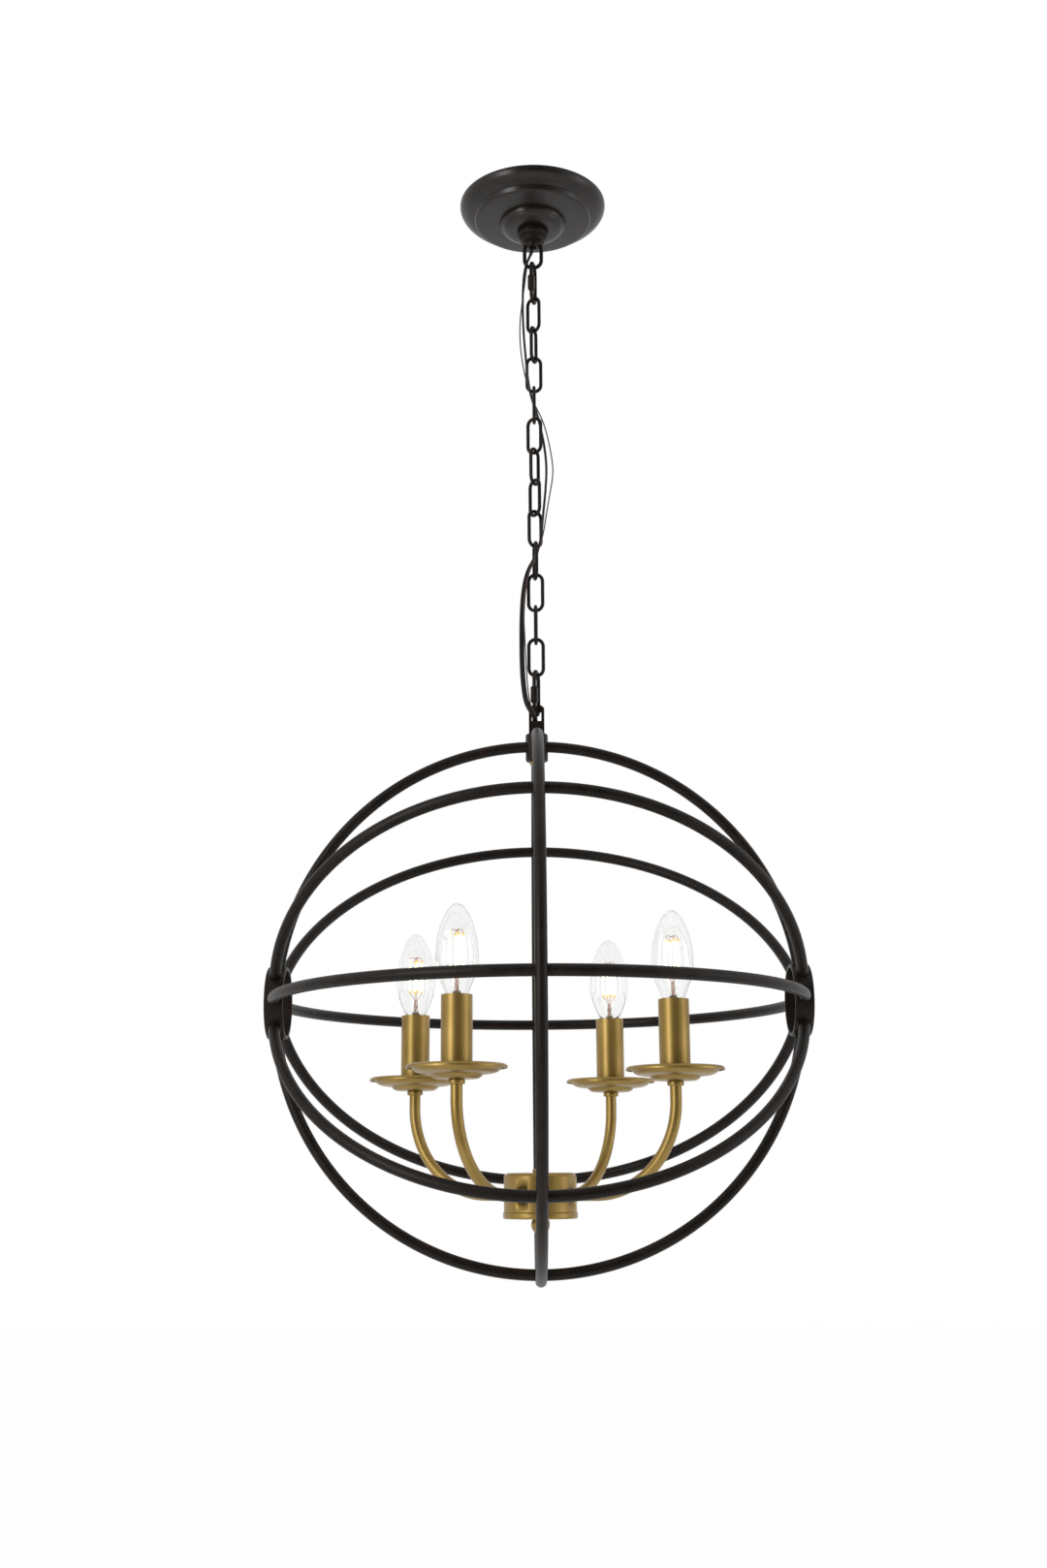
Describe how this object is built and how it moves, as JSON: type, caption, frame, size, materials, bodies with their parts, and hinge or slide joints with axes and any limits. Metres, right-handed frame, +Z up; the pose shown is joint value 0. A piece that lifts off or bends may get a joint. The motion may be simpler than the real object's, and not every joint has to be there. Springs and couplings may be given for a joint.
{
  "type": "pendant light",
  "caption": "Orb cage chandelier of round-rod hoops with hubs, hung on a link chain and ceiling canopy, with a gold candle cluster of bent arms, drip pans, sleeves and clear bulbs.",
  "frame": {"origin": "centre of the strap's two box-screw slots, on the ceiling plane", "axes": "+Z up into the ceiling, +X towards the right hub as pictured, -Y towards the camera"},
  "size_m": [0.4596, 0.4664, 0.9891],
  "materials": {
    "bronze_paint": "satin rubbed bronze paint",
    "gold_paint": "satin antique gold paint",
    "zinc_steel": "zinc plated",
    "cord_pvc": "satin black jacket",
    "ground_pvc": "clear jacket over copper",
    "socket_plastic": "moulded",
    "clear_glass": "clear",
    "base_metal": "nickel plated",
    "filament": "phosphor coated rods on a glass mount"
  },
  "bodies": {
    "ceiling_fixture": {"canopy": "bronze_paint", "mounting_strap": "zinc_steel", "ground_screw": "zinc_steel", "hanger_nipple": "zinc_steel", "nipple_nuts": "zinc_steel", "screw_ring": "bronze_paint", "canopy_loop": "bronze_paint"},
    "connector_top": {"connector_link_top": "bronze_paint", "connector_nut_top": "bronze_paint"},
    "chain_run": {"chain_links": "bronze_paint", "supply_cord": "cord_pvc", "ground_wire": "ground_pvc"},
    "connector_bottom": {"connector_link_bottom": "bronze_paint", "connector_nut_bottom": "bronze_paint"},
    "cage": {"yoke": "bronze_paint", "top_collar": "bronze_paint", "hub_left": "bronze_paint", "hub_right": "bronze_paint", "cross_hoop": "bronze_paint", "upright_hoop_top": "bronze_paint", "upright_hoop_bottom": "bronze_paint", "back_lean_hoop_top": "bronze_paint", "back_lean_hoop_bottom": "bronze_paint", "front_lean_hoop_top": "bronze_paint", "front_lean_hoop_bottom": "bronze_paint", "equator_hoop_back": "bronze_paint", "equator_hoop_front": "bronze_paint", "arm_nuts": "zinc_steel", "sockets": "socket_plastic", "stem": "gold_paint", "stem_nut_top": "gold_paint", "stem_nut_bottom": "gold_paint", "cluster_cup": "gold_paint", "cup_cap": "gold_paint", "finial": "gold_paint", "check_rings": "gold_paint", "arm_1": "gold_paint", "drip_pan_1": "gold_paint", "candle_sleeve_1": "gold_paint", "arm_2": "gold_paint", "drip_pan_2": "gold_paint", "candle_sleeve_2": "gold_paint", "arm_3": "gold_paint", "drip_pan_3": "gold_paint", "candle_sleeve_3": "gold_paint", "arm_4": "gold_paint", "drip_pan_4": "gold_paint", "candle_sleeve_4": "gold_paint"},
    "bulb_1": {"bulb_glass_1": "clear_glass", "bulb_base_1": "base_metal", "bulb_filament_1": "filament"},
    "bulb_2": {"bulb_glass_2": "clear_glass", "bulb_base_2": "base_metal", "bulb_filament_2": "filament"},
    "bulb_3": {"bulb_glass_3": "clear_glass", "bulb_base_3": "base_metal", "bulb_filament_3": "filament"},
    "bulb_4": {"bulb_glass_4": "clear_glass", "bulb_base_4": "base_metal", "bulb_filament_4": "filament"}
  },
  "joints": [
    {"name": "loop_swing", "type": "hinge", "parent": "ceiling_fixture", "child": "connector_top", "pos_m": [0, 0, -0.0645], "axis": [1, 0, 0], "range_deg": [-25, 25], "deforming": ["supply_cord", "ground_wire"]},
    {"name": "chain_swing", "type": "hinge", "parent": "connector_top", "child": "chain_run", "pos_m": [0, 0, -0.10015], "axis": [0.2588, 0.9659, 0], "range_deg": [-25, 25], "deforming": ["supply_cord", "ground_wire"]},
    {"name": "low_connector_swing", "type": "hinge", "parent": "chain_run", "child": "connector_bottom", "pos_m": [0, 0, -0.4666], "axis": [1, 0, 0], "range_deg": [-25, 25], "deforming": ["supply_cord", "ground_wire"]},
    {"name": "yoke_swing", "type": "hinge", "parent": "connector_bottom", "child": "cage", "pos_m": [0, 0, -0.50245], "axis": [0.2588, 0.9659, 0], "range_deg": [-12, 12], "deforming": ["supply_cord", "ground_wire"]},
    {"name": "bulb_1_lift", "type": "slide", "parent": "cage", "child": "bulb_1", "axis": [0, 0, 1], "range_m": [0, 0.05]},
    {"name": "bulb_2_lift", "type": "slide", "parent": "cage", "child": "bulb_2", "axis": [0, 0, 1], "range_m": [0, 0.05]},
    {"name": "bulb_3_lift", "type": "slide", "parent": "cage", "child": "bulb_3", "axis": [0, 0, 1], "range_m": [0, 0.05]},
    {"name": "bulb_4_lift", "type": "slide", "parent": "cage", "child": "bulb_4", "axis": [0, 0, 1], "range_m": [0, 0.05]}
  ]
}
